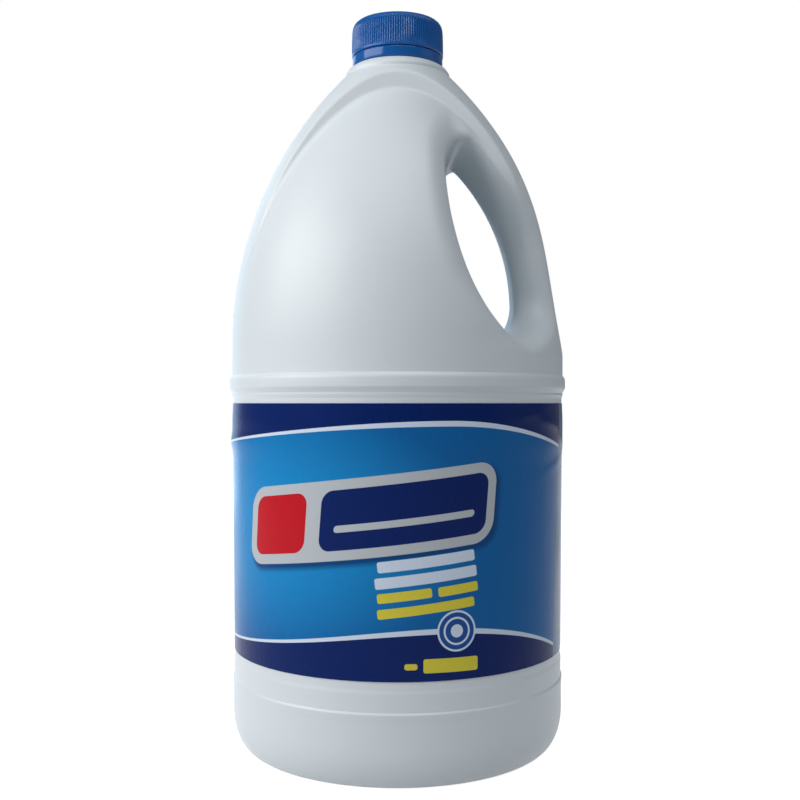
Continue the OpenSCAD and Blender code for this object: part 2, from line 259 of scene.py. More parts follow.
world = bpy.data.worlds.new("room")
world.use_nodes = True
bpy.context.scene.world = world
room = world.node_tree
path = room.nodes.new("ShaderNodeLightPath")
either = room.nodes.new("ShaderNodeMath")
either.operation = "MAXIMUM"
room.links.new(path.outputs["Is Camera Ray"], either.inputs[0])
room.links.new(path.outputs["Is Transmission Ray"], either.inputs[1])
paint = room.nodes.new("ShaderNodeMix")
paint.data_type = "RGBA"
tone = {s.identifier: s for s in paint.inputs}
tone["A_Color"].default_value = ROOM_LIGHT
tone["B_Color"].default_value = (1.0, 1.0, 1.0, 1.0)
room.links.new(either.outputs[0], tone["Factor_Float"])
room.links.new(
    {s.identifier: s for s in paint.outputs}["Result_Color"],
    room.nodes["Background"].inputs["Color"],
)


def window(name, azimuth, elevation, distance, width, height, watts, colour=(1, 1, 1)):
    """An area light that faces the bottle. Azimuth 0 is the camera's side, negative is left,
    and distance, width and height are in metres."""
    a, e = math.radians(azimuth), math.radians(elevation)
    light = bpy.data.lights.new(name, "AREA")
    light.shape = "RECTANGLE"
    light.size, light.size_y = width, height
    light.energy, light.color = watts, colour
    holder = bpy.data.objects.new(name, light)
    away = Vector((math.sin(a) * math.cos(e), -math.cos(a) * math.cos(e), math.sin(e)))
    holder.location = LIGHTS_AIM + away * distance
    holder.rotation_euler = (-away).to_track_quat("-Z", "Y").to_euler()
    bpy.context.collection.objects.link(holder)


window("left_window", -65, 26, 0.9, 0.8, 0.5, 6.3, (1.0, 0.995, 0.98))
window("ceiling", 20, 62, 1.3, 1.0, 0.8, 5.2, (0.93, 0.97, 1.0))
window("right_fill", 82, 14, 1.2, 0.8, 1.0, 0.7)
window("back_fill", -158, 8, 1.1, 0.9, 0.9, 4.0, (0.55, 0.78, 1.0))
bpy.context.scene.view_settings.view_transform = "Standard"
print("a window, the ceiling, two fills and the room's own light")

# %% [markdown]
# ## Meshes from rows of points
#
# Every piece here is a stack of closed rows of points with quads between them. `fillet`
# rounds the corners of a profile first, because no moulded edge is sharp, and `solid` makes
# the Blender mesh in metres, welds doubled points and shades it smoothly.


# %% Profile and mesh helpers
def fillet(corners, steps=5):
    """Rounds the corners of a profile. Each corner is (r, z, radius)."""
    out = [corners[0][:2]]
    for before, (r, z, radius), after in zip(corners, corners[1:], corners[2:]):
        here = np.array([r, z], float)
        a, b = np.array(before[:2]) - here, np.array(after[:2]) - here
        la, lb = np.linalg.norm(a), np.linalg.norm(b)
        a, b = a / la, b / lb
        half = math.acos(max(-1.0, min(1.0, float(a @ b)))) / 2
        if radius <= 0 or half > math.radians(89):
            out.append((r, z))
            continue
        reach = min(radius / math.tan(half), 0.48 * la, 0.48 * lb)
        for t in np.linspace(0, 1, steps):
            out.append(tuple(here + a * reach * (1 - t) ** 2 + b * reach * t**2))
    out.append(corners[-1][:2])
    return np.array(out, float)


def turned(profile, angles):
    """Rows of a turned form: one row for each profile point, one column for each angle."""
    r, z = profile[:, :1], profile[:, 1:]
    return np.stack([r * np.cos(angles), r * np.sin(angles), z + 0 * angles], axis=2)


def quads(rows, columns, start=0, closed=True, flip=False):
    """Faces between the rows of a grid whose first point has the index start."""
    j, i = np.mgrid[0 : rows - 1, 0 : columns if closed else columns - 1]
    low, high, i_next = j * columns, (j + 1) * columns, (i + 1) % columns
    face = np.stack([low + i, low + i_next, high + i_next, high + i], axis=2).reshape(-1, 4)
    return (face[:, ::-1] if flip else face) + start


def solid(name, points, faces, sharp=35):
    """A smooth-shaded object from points in millimetres."""
    mesh = bpy.data.meshes.new(name)
    metres = np.asarray(points) * MM
    mesh.from_pydata(metres.tolist(), [], [list(map(int, f)) for f in faces])
    work = bmesh.new()
    work.from_mesh(mesh)
    bmesh.ops.remove_doubles(work, verts=work.verts, dist=1e-6)
    bmesh.ops.dissolve_degenerate(work, dist=1e-7, edges=work.edges)
    bmesh.ops.recalc_face_normals(work, faces=work.faces)
    open_edges = sum(1 for e in work.edges if len(e.link_faces) != 2)
    work.to_mesh(mesh)
    work.free()
    mesh.shade_smooth()
    mesh.set_sharp_from_angle(angle=math.radians(sharp))
    piece = bpy.data.objects.new(name, mesh)
    bpy.context.collection.objects.link(piece)
    print(name, len(mesh.polygons), "faces", open_edges, "open edges")
    return piece


# %% [markdown]
# ## The blown shell: dome, band and handle
#
# The dome, the set-in panels at its front and back, the band that stands proud of them, the
# finger hole and the handle are one skin that a mould gave. The CAD source describes that skin
# by a form function, which is negative inside and positive outside. The same formulas are used
# here on whole arrays of points, with more rows and columns. The shape is the same, but the
# edges of the step and of the ridge are a little softer or crisper than in the solid.

# %% Sizes of the shell, in millimetres
STAND_R, STAND_W, PUSH_UP = 66.3, 5.0, 7.0
FOOT_R, FOOT_CORNER_H, CREASE_Z = 75.1, 17.0, 32.0
PANEL_Z, PANEL_H, PANEL_LOW_R, PANEL_HIGH_R = 40.5, 117.0, 74.5, 75.3
RING_Z, RING_H, RING_R, WALL = 160.1, 8.0, 76.9, 1.2
DOME_R, DOME_ARC_R, DOME_Z, COLLAR_R = 75.8, 176.0, 180.0, 24.1
DOME_H = math.sqrt(DOME_ARC_R**2 - (DOME_ARC_R - DOME_R + COLLAR_R) ** 2)
COLLAR_Z = DOME_Z + DOME_H
BAND_W, BAND_FLARE, PANEL_STEP, STEP_H = 55.0, 0.07, 8.0, 30.0
GRIP_W, GRIP_T, GRIP_INSET, GRIP_ARC_R = 38.0, 20.0, 3.0, 98.0
SCOOP_W, SCOOP_H, SCOOP_TOP_H = 48.3, 88.8, 40.0
GRIP_BLEND, BLEND_GROWTH, EDGE_BLEND, RIM_BLEND, RIDGE_BLEND = 6.0, 0.35, 9.0, 2.8, 2.6
STEP_ROUND, STEP_FOOT, PARTING_ROUND, HOLE_END = 1.3, 1.5, 0.05 * DOME_R, 0.45 * GRIP_T
OUTSIDE = DOME_R + 9
FINGER_X = DOME_R - GRIP_INSET - GRIP_T - GRIP_ARC_R
FINGER_Z = DOME_Z + 0.12 * DOME_H
SCOOP_X, SCOOP_Z, SCOOP_DEPTH = DOME_R - 0.39 * GRIP_T, DOME_Z + 0.66 * DOME_H, 0.66 * DOME_R
BODY_LEAN, SHELF_LEAN, TOP_LEAN = 0.04, 0.5, 0.5
print("collar at", round(COLLAR_Z, 2))


# %% Form functions
def smooth_max(a, b, k):
    return np.maximum(a, b) + np.maximum(k - np.abs(a - b), 0) ** 2 / (4 * k)


def smooth_min(a, b, k):
    return -smooth_max(-a, -b, k)


def ramp(t):
    c = np.clip(t, 0, 1)
    return c * c * (3 - 2 * c)


def mix(a, b, t):
    return a + (b - a) * t


def soft_abs(y):
    return np.sqrt(y * y + PARTING_ROUND**2) - PARTING_ROUND


def dome_share(z):
    return (z - DOME_Z) / DOME_H


def dome_radius(z):
    return DOME_R - DOME_ARC_R + np.sqrt(DOME_ARC_R**2 - np.maximum(z - DOME_Z, 0) ** 2)


def band_y(z):
    return BAND_W / 2 + BAND_FLARE * (COLLAR_Z - z)


def grip_y(z):
    return GRIP_W / 2 + 0.42 * GRIP_W * ramp((dome_share(z) - 0.34) / 0.32)


def panel_drop(z):
    foot = 0.8 * ramp((z - COLLAR_Z + 18) / 8)
    return PANEL_STEP * (np.maximum(z - DOME_Z - STEP_H, 0) / (DOME_H - STEP_H)) ** 1.6 + foot


def grip_dip(x, z):
    along = np.clip((dome_share(z) + 0.03) / 0.8, 0, 1) ** 0.6
    return GRIP_INSET * ramp((x / DOME_R - 0.4) / 0.33) * np.sin(math.pi * along) ** 2


def dome_form(x, y, z):
    """The panels, and the band that stands proud of them in a steep step."""
    skin = np.hypot(x, y) - dome_radius(z) + grip_dip(x, z)
    drop = panel_drop(z)
    band = smooth_max(skin, np.abs(y) - band_y(z), STEP_ROUND)
    return smooth_min(skin + drop, band, np.maximum(np.minimum(STEP_FOOT, 0.8 * drop), 0.01))


def scoop_edge(x, z):
    """Distance to the edge of the finger scoop, seen from the front."""
    h = np.where(z < SCOOP_Z, SCOOP_H, SCOOP_TOP_H)
    u, v = np.maximum(SCOOP_X - x, 0) / SCOOP_W, (z - SCOOP_Z) / h
    share = np.hypot(u, v)
    slope = np.maximum(np.hypot(u / SCOOP_W, v / h), 1e-9)
    return np.where(share < 0.05, -SCOOP_W, share * (share - 1) / slope)


def edge_round(x, z):
    """Rounding where the dome meets the handle or the scoop."""
    share = dome_share(z)
    along = mix(RIM_BLEND, EDGE_BLEND, ramp(share / 0.25))
    ridge = ramp((share - 0.38) / 0.2) * ramp((x / DOME_R - 0.29) / 0.13)
    return mix(along, RIDGE_BLEND, ridge)


def bottle_form(x, y, z):
    lean = BODY_LEAN + SHELF_LEAN * ramp(((x - SCOOP_X) / SCOOP_W + 0.48) / 0.41)
    scooped = -scoop_edge(x, z) - lean * (SCOOP_DEPTH - soft_abs(y))
    rise = np.maximum(z - FINGER_Z - TOP_LEAN * soft_abs(y), 0)
    finger = GRIP_ARC_R - np.hypot(x - FINGER_X, rise)
    grip = smooth_max(np.abs(y) - grip_y(z), finger, 0.34 * GRIP_W)
    above = ramp((dome_share(z) - 0.58) / 0.1)
    blend = GRIP_BLEND + 0.8 * above + (BLEND_GROWTH + 0.15 * above) * soft_abs(y)
    inner = smooth_min(scooped, grip, blend)
    return smooth_max(dome_form(x, y, z), inner, edge_round(x, z))


def form_normal(p, d=0.05):
    """Unit normals of the form at an array of points."""
    x, y, z = np.moveaxis(p, -1, 0)
    g = np.stack(
        [
            bottle_form(x + d, y, z) - bottle_form(x - d, y, z),
            bottle_form(x, y + d, z) - bottle_form(x, y - d, z),
            bottle_form(x, y, z + d) - bottle_form(x, y, z - d),
        ],
        axis=-1,
    )
    return g / np.linalg.norm(g, axis=-1, keepdims=True)


def crossing(f, inside, outside, steps=34):
    """Where f changes sign between two places, for whole arrays at once."""
    a, b = np.broadcast_arrays(np.asarray(inside, float), np.asarray(outside, float))
    a, b = a.copy(), b.copy()
    for _ in range(steps):
        middle = (a + b) / 2
        within = f(middle) < 0
        a, b = np.where(within, middle, a), np.where(within, b, middle)
    return (a + b) / 2


# %% [markdown]
# The finger hole splits each row in two: the part that goes round the body and the part that
# goes round the handle. Where the hole is closed the two parts meet in a valley line. Each
# part is sampled densely first. Its columns are then spread along it by length and by how much
# it bends, so that the edges of the step, the ridge above the hollow and the rounded edges of
# the handle get more of them.

# %% Rows of the shell
ROWS_BELOW, ROWS_HOLE, ROWS_ABOVE = 34, 66, 66
BODY_COLUMNS, GRIP_COLUMNS, DENSE, BEND_MM = 84, 42, 900, 9.0
HOLE_SAMPLES, VALLEY_SAMPLES = 4001, 240
JOIN_Z = 170.0


def hole_place(z):
    """Middle of the finger hole at one height, and how open the hole is there."""
    start = SCOOP_X - SCOOP_W
    end = max(dome_radius(z) - GRIP_T - HOLE_END, start + 1e-6)
    xs = np.linspace(start, end, HOLE_SAMPLES)
    depth = bottle_form(xs, 0, z)
    best = int(np.argmax(depth))
    panel_r = dome_radius(z) - panel_drop(z)
    step_x = math.sqrt(max(panel_r**2 - band_y(z) ** 2, 0))
    foot_x = smooth_max(step_x, 0.25 * dome_radius(z), 3.0)
    middle = mix(xs[best], foot_x, ramp((dome_share(z) - 0.8) / 0.08))
    return float(middle), float(depth[best])


def hole_tip(solid_z, open_z):
    """Height of a tip of the hole, between a height where it is closed and one where it isn't."""
    a, b = solid_z, open_z
    for _ in range(40):
        middle = (a + b) / 2
        if hole_place(middle)[1] < 0:
            a = middle
        else:
            b = middle
    return (a + b) / 2


def depth_at(x, z):
    """Half depth of the form above a place of the parting plane."""
    y = crossing(lambda v: bottle_form(x, v, z), np.zeros_like(x), OUTSIDE)
    return np.where(bottle_form(x, 0, z) >= 0, 0.0, y)


def spread(x, y, z, count):
    """Places a row's columns by length and by bend."""
    step = np.hypot(np.diff(x), np.diff(y))
    facing = form_normal(np.stack([x, y, np.full_like(x, z)], axis=1))
    bend = np.linalg.norm(np.diff(facing, axis=0), axis=1)
    along = np.concatenate([[0], np.cumsum(step + BEND_MM * bend)])
    at = np.linspace(0, along[-1], count)
    return np.interp(at, along, x), np.interp(at, along, y)


def shell_row(z, tip):
    """One row of the half with positive y: the body's columns, then the handle's."""
    r = float(dome_radius(z))
    middle, depth = hole_place(z)
    is_open = depth > 0 and not tip
    edge_right = float(crossing(lambda x: bottle_form(x, 0, z), r - GRIP_T / 2, OUTSIDE))
    ends = [middle, middle]
    if is_open:
        ends[0] = float(crossing(lambda x: bottle_form(x, 0, z), 0, middle))
        ends[1] = -float(
            crossing(lambda x: bottle_form(-x, 0, z), -edge_right + GRIP_T / 2, -middle)
        )
    far = (1 - np.cos(np.linspace(0, math.pi, DENSE))) / 2
    body_x, grip_x = mix(-r, ends[0], far), mix(ends[1], edge_right, far)
    body_side, grip_side = depth_at(body_x, z), depth_at(grip_x, z)
    body_side[0] = grip_side[-1] = 0.0
    if tip or is_open:
        body_side[-1] = grip_side[0] = 0.0
    body_x, body_side = spread(body_x, body_side, z, BODY_COLUMNS + 1)
    grip_x, grip_side = spread(grip_x, grip_side, z, GRIP_COLUMNS + 1)
    xs, ys = np.concatenate([body_x, grip_x]), np.concatenate([body_side, grip_side])
    return np.stack([xs, ys, np.full_like(xs, z)], axis=1)


def valley_rows(tip, end, count):
    """Heights from a tip of the hole to the end of the shell, spread along the valley line. Its
    floor is nearly level beside the tips, so rows of equal height would be far apart there."""
    zs = mix(tip, end, np.linspace(0, 1, VALLEY_SAMPLES) ** 3)
    places = [hole_place(z)[0] for z in zs]
    ys = np.array([depth_at(np.array([x]), z)[0] for x, z in zip(places, zs)])
    along = np.concatenate([[0], np.cumsum(np.hypot(np.diff(zs), 0.6 * np.diff(ys)))])
    return np.interp(np.linspace(0, along[-1], count + 1), along, zs)


hole_middle_z = DOME_Z + 0.3 * DOME_H
tip_low = hole_tip(JOIN_Z, hole_middle_z)
tip_high = hole_tip(COLLAR_Z, hole_middle_z)
share = np.linspace(0, 1, ROWS_HOLE + 1)
heights = np.concatenate([
    valley_rows(tip_low, JOIN_Z, ROWS_BELOW)[:0:-1],
    mix(tip_low, tip_high, share - 0.85 * np.sin(2 * math.pi * share) / (2 * math.pi)),
    valley_rows(tip_high, COLLAR_Z, ROWS_ABOVE)[1:],
])
tips = (ROWS_BELOW, ROWS_BELOW + ROWS_HOLE)
shell = np.array([shell_row(z, j in tips) for j, z in enumerate(heights)])
print("hole from", round(tip_low, 1), "to", round(tip_high, 1), "grid", shell.shape)

# %% [markdown]
# The inside is the same skin, moved inward by the wall. It shows only through the neck, so
# fewer rows are enough there.

# %% Inside of the shell
EVERY = 3
inner_rows = np.unique(np.append(np.arange(0, len(shell), EVERY), [*tips, len(shell) - 1]))
inner_shell = (shell - WALL * form_normal(shell))[inner_rows]
inner_shell[..., 1] = np.maximum(inner_shell[..., 1], 0)
inner_shell[shell[inner_rows][..., 1] == 0, 1] = 0
print("inside rows", len(inner_shell))

# %% [markdown]
# ## Foot, label panel, shoulder ring and neck
#
# These are turned forms, so a profile with rounded corners is enough. They use the angles of
# the shell's own columns, which lets the whole bottle weld into one closed skin: up the
# outside, over the lip, and down the inside to the base. One half is made and then mirrored.
# No faces go between the body's last column and the handle's first one: where the finger hole
# is open it lies between them, and elsewhere both columns are the same points and weld.

# %% Profiles of the turned parts
CAP_R, NECK_R, BORE_R, FINISH_R, NECK_H = 21.15, 17.4, 15.0, 18.9, 17.9
COLLAR_EDGE_H, COLLAR_SLOPE_H, BAND_CLEAR, BEAD_RISE = 1.4, 3.2, 0.3, 2.0
COLLAR_TOP_Z = COLLAR_Z + COLLAR_EDGE_H + COLLAR_SLOPE_H
LIP_Z = COLLAR_TOP_Z + NECK_H
BAND_Z = COLLAR_TOP_Z + BAND_CLEAR
BEAD_Z = BAND_Z + BEAD_RISE
PUSH_R = STAND_R - STAND_W - 3

base = [
    (r, PUSH_UP * (1 - 0.75 * (r / PUSH_R) ** 2), 0) for r in np.linspace(0.5, PUSH_R, 7)
]
corner = [
    (STAND_R + (FOOT_R - STAND_R) * math.sin(a), FOOT_CORNER_H * (1 - math.cos(a)), 0)
    for a in np.linspace(0, math.pi / 2, 13)
]
foot_to_dome = [
    (FOOT_R, CREASE_Z - 4, 3),
    (FOOT_R + 0.3, CREASE_Z - 0.55, 0.9),
    (FOOT_R - 0.35, CREASE_Z + 0.15, 0.5),
    (FOOT_R - 0.2, PANEL_Z - 0.9, 1.2),
    (PANEL_LOW_R, PANEL_Z + 0.7, 1.2),
    (PANEL_HIGH_R, PANEL_Z + PANEL_H - 0.9, 1.0),
    (DOME_R, PANEL_Z + PANEL_H + 0.7, 1.0),
    (DOME_R - 0.1, RING_Z - 1.1, 0.8),
    (RING_R, RING_Z + 1.1, 1.6),
    (RING_R, RING_Z + RING_H - 2.6, 3.4),
    (DOME_R, RING_Z + RING_H - 1.1, 0.4),
    (DOME_R, JOIN_Z, 0),
]
lower_out = fillet(base + [(STAND_R - STAND_W, 0.0, 1.5)] + corner + foot_to_dome, steps=4)
lower_in = fillet([
    (0.5, PUSH_UP + WALL, 0),
    (PUSH_R, 0.25 * PUSH_UP + WALL, 1),
    (STAND_R - STAND_W + 1, WALL, 1),
    (STAND_R, WALL, 3),
    (FOOT_R - 2.2, 8.5, 8),
    (FOOT_R - WALL, FOOT_CORNER_H, 8),
    (PANEL_LOW_R - WALL, PANEL_Z, 2),
    (PANEL_HIGH_R - WALL, RING_Z - 2, 1),
    (DOME_R - WALL, JOIN_Z, 0),
])
neck_out = fillet([
    (COLLAR_R, COLLAR_Z, 0),
    (COLLAR_R + 0.05, COLLAR_Z + 1.3, 1.2),
    (COLLAR_R - 1.2, COLLAR_Z + 3.1, 1.8),
    (CAP_R - 0.4, COLLAR_TOP_Z, 1.2),
    (NECK_R, COLLAR_TOP_Z, 0.4),
    (NECK_R, BEAD_Z, 0.3),
    (FINISH_R, BEAD_Z + 0.3, 0.3),
    (FINISH_R, BEAD_Z + 0.9, 0.4),
    (NECK_R, BEAD_Z + 1.8, 0.4),
    (NECK_R, LIP_Z - 0.5, 0),
    (NECK_R - 0.1, LIP_Z, 0.6),
    (BORE_R + 0.4, LIP_Z, 0.6),
    (BORE_R, LIP_Z - 0.8, 0.5),
    (BORE_R, COLLAR_Z + 0.3, 2),
    (BORE_R + 3, COLLAR_Z - 1.2, 2),
    (COLLAR_R - 2.2, COLLAR_Z - 1.4, 0),
], steps=4)
print("turned profiles", len(lower_out), len(lower_in), len(neck_out))


# %% One closed bottle
def angles_of(row):
    """Angles of a row's columns round the axis."""
    return np.arctan2(row[:, 1], row[:, 0])


low_angles, high_angles = angles_of(shell[0]), angles_of(shell[-1])
half_out = np.concatenate([
    turned(lower_out[:-1], low_angles), shell, turned(neck_out[1:], high_angles)
])
half_in = np.concatenate([
    turned(lower_in[:-1], low_angles), inner_shell, turned(neck_out[-1:], high_angles)
])
columns = half_out.shape[1]
centre_out = 2 * (len(half_out) + len(half_in)) * columns

parts, faces, fans, start = [], [], [], 0
for side in (1, -1):
    for half, outside, centre in ((half_out, True, centre_out), (half_in, False, centre_out + 1)):
        parts.append((half * (1, side, 1)).reshape(-1, 3))
        face = quads(len(half), columns, closed=False, flip=(side > 0) == outside)
        between = face.min(axis=1) % columns == BODY_COLUMNS
        faces += (face[~between] + start).tolist()
        fans += [
            (centre, start + i, start + i + 1) for i in range(columns - 1) if i != BODY_COLUMNS
        ]
        start += len(half) * columns
parts.append(np.array([[0, 0, PUSH_UP], [0, 0, PUSH_UP + WALL]]))
bottle = solid("bottle_shell", np.vstack(parts), faces + fans)
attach(bottle, "bottle")
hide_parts("bottle")

# %% [markdown]
# The shell is shaded with the form's own normals, taken from the slope of the form function at
# every point. The rows and columns then leave no trace in the highlights.

# %% Normals of the form
mesh = bottle.data
places = np.empty(3 * len(mesh.vertices))
mesh.vertices.foreach_get("co", places)
places = places.reshape(-1, 3) / MM
corners = np.empty(len(mesh.loops), dtype=np.int32)
mesh.loops.foreach_get("vertex_index", corners)
normals = np.empty(3 * len(mesh.loops))
mesh.corner_normals.foreach_get("vector", normals)
normals = normals.reshape(-1, 3)
x, y, height = places.T
on_form = (height > JOIN_Z) & (height < COLLAR_Z - 0.3)
on_form &= np.abs(bottle_form(x, y, height)) < 0.03
facing = np.zeros_like(places)
facing[on_form] = form_normal(places[on_form])
picked = on_form[corners]
normals[picked] = facing[corners[picked]]
mesh.normals_split_custom_set(normals.tolist())
print("form normals on", int(on_form.sum()), "points")

# %% [markdown]
# ## Threads
#
# The neck's thread is a low ridge that winds up nearly one and a half times and fades out at
# both ends. It is swept here as a row of small cross sections. The cap has the same ridge
# turned inward, half a turn's climb lower, so the two pass between one another.


# %% Thread ridges
LEAD, THREAD_RISE = 4.2, 8.4


def thread(name, root_r, crest_r, z_start, turns=1.4, per_turn=90):
    """A ridge of small cross sections. Each point of one is (share of its depth, height)."""
    count = round(turns * per_turn) + 1
    half = [[0, -1.1], [0.55, -0.78], [0.92, -0.5]]
    across = np.array(half + [[1, 0]] + [[depth, -z] for depth, z in half[::-1]])
    i = np.arange(count)
    a = 2 * math.pi * i / per_turn
    swell = np.clip(np.minimum(i, count - 1 - i) / 12, 0.3, 1)
    r = root_r + (crest_r - root_r) * swell[:, None] * across[:, 0]
    z = z_start + LEAD * i[:, None] / per_turn + across[:, 1] * swell[:, None]
    points = np.stack([r * np.cos(a)[:, None], r * np.sin(a)[:, None], z], axis=2)
    n = len(across)
    face = [list(f) for f in quads(count, n)]
    face += [list(range(n)), list(range((count - 1) * n, count * n))]
    return solid(name, points.reshape(-1, 3), face)


THREAD_Z = COLLAR_TOP_Z + THREAD_RISE
neck_thread = thread("neck_thread", NECK_R - 0.4, FINISH_R, THREAD_Z)
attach(neck_thread, "bottle")

# %% [markdown]
# ## Cap, tamper band and liner
#
# Fine upright ribs cover the cap's side and fade into the rounded upper edge. They are real
# geometry: each row of the turned form gets a small wave round its edge. The tamper band
# below the break line is smooth and glossy, and the stubs of its bridges still stand on its
# upper edge. The liner can't be seen with the cap on, so it stays the plain disc of the CAD
# model and only gets its own foam.

# %% Cap
BAND_H, BREAK_GAP, LINER_T, CAP_TOP_T = 4.6, 0.3, 1.2, 1.8
CAP_Z = BAND_Z + BAND_H + BREAK_GAP
CAP_TOP_Z = LIP_Z + LINER_T + CAP_TOP_T
CAP_BORE_R, RIBS, RIB_D, RIB_SAMPLES = 19.4, 120, 0.36, 8
cap_angles = np.linspace(0, 2 * math.pi, RIBS * RIB_SAMPLES, endpoint=False)
cap_side = fillet([
    (CAP_BORE_R + 0.1, CAP_Z + 0.25, 0),
    (CAP_BORE_R + 0.4, CAP_Z, 0.2),
    (CAP_R - 0.35, CAP_Z, 0.3),
    (CAP_R, CAP_Z + 0.35, 0.3),
    (CAP_R, CAP_Z + 1.1, 0),
    (CAP_R, CAP_Z + 1.5, 0),
    (CAP_R, CAP_Z + 6, 0),
    (CAP_R - 0.15, CAP_TOP_Z - 4.6, 0),
    (CAP_R - 0.3, CAP_TOP_Z - 3.2, 0),
    (CAP_R - 0.62, CAP_TOP_Z - 2.1, 0),
    (CAP_R - 1.15, CAP_TOP_Z - 1.2, 0),
    (CAP_R - 1.95, CAP_TOP_Z - 0.5, 0),
    (CAP_R - 3.0, CAP_TOP_Z - 0.12, 0),
    (CAP_R - 4.0, CAP_TOP_Z, 0),
    (CAP_R - 6.0, CAP_TOP_Z - 0.05, 0),
    (8.0, CAP_TOP_Z - 0.25, 3),
    (0.4, CAP_TOP_Z - 0.3, 0),
])
cap_inside = fillet([
    (0.4, CAP_TOP_Z - CAP_TOP_T, 0),
    (CAP_BORE_R - 1, CAP_TOP_Z - CAP_TOP_T, 0),
    (CAP_BORE_R, CAP_TOP_Z - 2.6, 0.8),
    (CAP_BORE_R, CAP_Z + 1.2, 0),
    (CAP_BORE_R + 0.1, CAP_Z + 0.25, 0),
])
outer, inner = turned(cap_side, cap_angles), turned(cap_inside, cap_angles)
wave = (0.5 - 0.5 * np.cos(RIBS * cap_angles)) ** 1.5
rib_z = outer[..., 2]
rib_fade = ramp((rib_z - CAP_Z - 1.0) / 0.6) * ramp((CAP_TOP_Z - 1.1 - rib_z) / 1.6)
scale = 1 - RIB_D * wave * rib_fade / np.hypot(outer[..., 0], outer[..., 1])
outer[..., :2] *= scale[..., None]
cap_points = np.concatenate([outer, inner]).reshape(-1, 3)
n, inside_start = len(cap_angles), outer[..., 0].size
cap_faces = quads(len(outer), n).tolist() + quads(len(inner), n, inside_start).tolist()
cap_faces += [list(range(inside_start - n, inside_start))]
cap_faces += [list(range(inside_start, inside_start + n))]
cap = solid("cap_shell", cap_points, cap_faces, sharp=50)
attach(cap, "cap")
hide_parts("cap")
cap_thread = thread("cap_thread", CAP_BORE_R + 0.4, CAP_BORE_R - 1.4, THREAD_Z - LEAD / 2)
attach(cap_thread, "cap")

# %% Tamper band
STUBS = 14
band_profile = fillet([
    (FINISH_R - 0.8, BAND_Z + 1.0, 0),
    (CAP_BORE_R - 0.1, BAND_Z + 0.05, 0.2),
    (CAP_R - 0.45, BAND_Z, 0.4),
    (CAP_R - 0.3, BAND_Z + 1.0, 1.0),
    (CAP_R - 0.3, BAND_Z + BAND_H - 0.5, 0.5),
    (CAP_R - 0.5, BAND_Z + BAND_H, 0.3),
    (CAP_BORE_R + 0.2, BAND_Z + BAND_H, 0.2),
    (CAP_BORE_R + 0.1, BAND_Z + 1.7, 0.3),
    (FINISH_R - 0.7, BAND_Z + 1.6, 0.2),
    (FINISH_R - 0.8, BAND_Z + 1.0, 0),
])
band_angles = np.linspace(0, 2 * math.pi, 224, endpoint=False)
band_points = turned(band_profile, band_angles)
stub = ramp(1.6 - np.abs(((band_angles * STUBS / (2 * math.pi)) % 1) - 0.5) * 20)
on_top = ramp((band_points[..., 2] - (BAND_Z + BAND_H - 0.06)) / 0.05)
band_points[..., 2] += 0.2 * stub * on_top
band_faces = quads(len(band_points), len(band_angles))
band = solid("tamper_ring", band_points.reshape(-1, 3), band_faces)
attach(band, "bottle")
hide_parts("tamper_band")

# %% [markdown]
# ## Label film
#
# The film goes once round the panel. Its two ends stop a few millimetres apart, just where the
# bottle's right outline is in the picture. Thin film never lies dead flat on a blown bottle:
# it stands off in a low ridge near its upper left, and it creases softly at its upper right.
# Both are pushed outward from the panel here.

# %% Film
LABEL_LIFT, LABEL_H, LABEL_T, LABEL_GAP = 4.0, 110.0, 0.15, 6.0
LABEL_LOW, LABEL_HIGH = PANEL_Z + LABEL_LIFT, PANEL_Z + LABEL_LIFT + LABEL_H
GAP_TURN = math.radians(-9.7)
FILM_COLUMNS, FILM_ROWS = 400, 80
half_gap = LABEL_GAP / PANEL_HIGH_R / 2
turn_start, turn_end = GAP_TURN + half_gap, GAP_TURN + 2 * math.pi - half_gap
film_angles = np.linspace(turn_start, turn_end, FILM_COLUMNS)
film_z = np.linspace(LABEL_LOW, LABEL_HIGH, FILM_ROWS)
angle, high = np.meshgrid(film_angles, film_z)
side_deg = np.degrees(np.arctan2(np.cos(angle), -np.sin(angle)))


def mound(at_deg, at_z, half_deg, half_z, tilt):
    """A soft swelling of height 1, longer one way than the other. Angle 0 is the front."""
    along = side_deg - at_deg
    return np.exp(-((along / half_deg) ** 2) - ((high - at_z - tilt * along) / half_z) ** 2)


film_lift = 0.12 + 0.32 * ramp((high - 128) / 9) * ramp((LABEL_HIGH + 1 - high) / 10)
for lift, *swelling in (
    (0.75, -88, 137, 26, 3.2, 0.03),
    (0.35, 60, 146, 9, 2.2, -0.25),
    (0.3, 74, 138, 6, 3.0, -0.4),
    (0.3, 48, 150, 8, 1.8, 0.2),
    (0.25, 66, 128, 10, 2.4, 0.3),
    (0.2, 72, 95, 5, 14, 0.5),
    (0.15, -60, 90, 8, 16, -0.4),
):
    film_lift += lift * mound(*swelling)
panel_r = PANEL_LOW_R + (PANEL_HIGH_R - PANEL_LOW_R) * (high - PANEL_Z) / PANEL_H
film_points = np.concatenate([
    np.stack([r * np.cos(angle), r * np.sin(angle), high], axis=2).reshape(-1, 3)
    for r in (panel_r + film_lift + LABEL_T, panel_r + film_lift)
])
rows, wide = angle.shape
under = rows * wide
film_faces = quads(rows, wide, closed=False).tolist()
film_faces += quads(rows, wide, under, closed=False, flip=True).tolist()


def rim(outer_edge):
    """Faces between the edge of the film's outside and the same edge of its inside."""
    return [[a, b, under + b, under + a] for a, b in zip(outer_edge, outer_edge[1:])]


film_faces += rim(range(wide)) + rim(range(under - 1, under - wide - 1, -1))
film_faces += rim(range(under - wide, -1, -wide)) + rim(range(wide - 1, under, wide))
film = solid("label_film", film_points, film_faces)
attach(film, "bottle")
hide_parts("label")

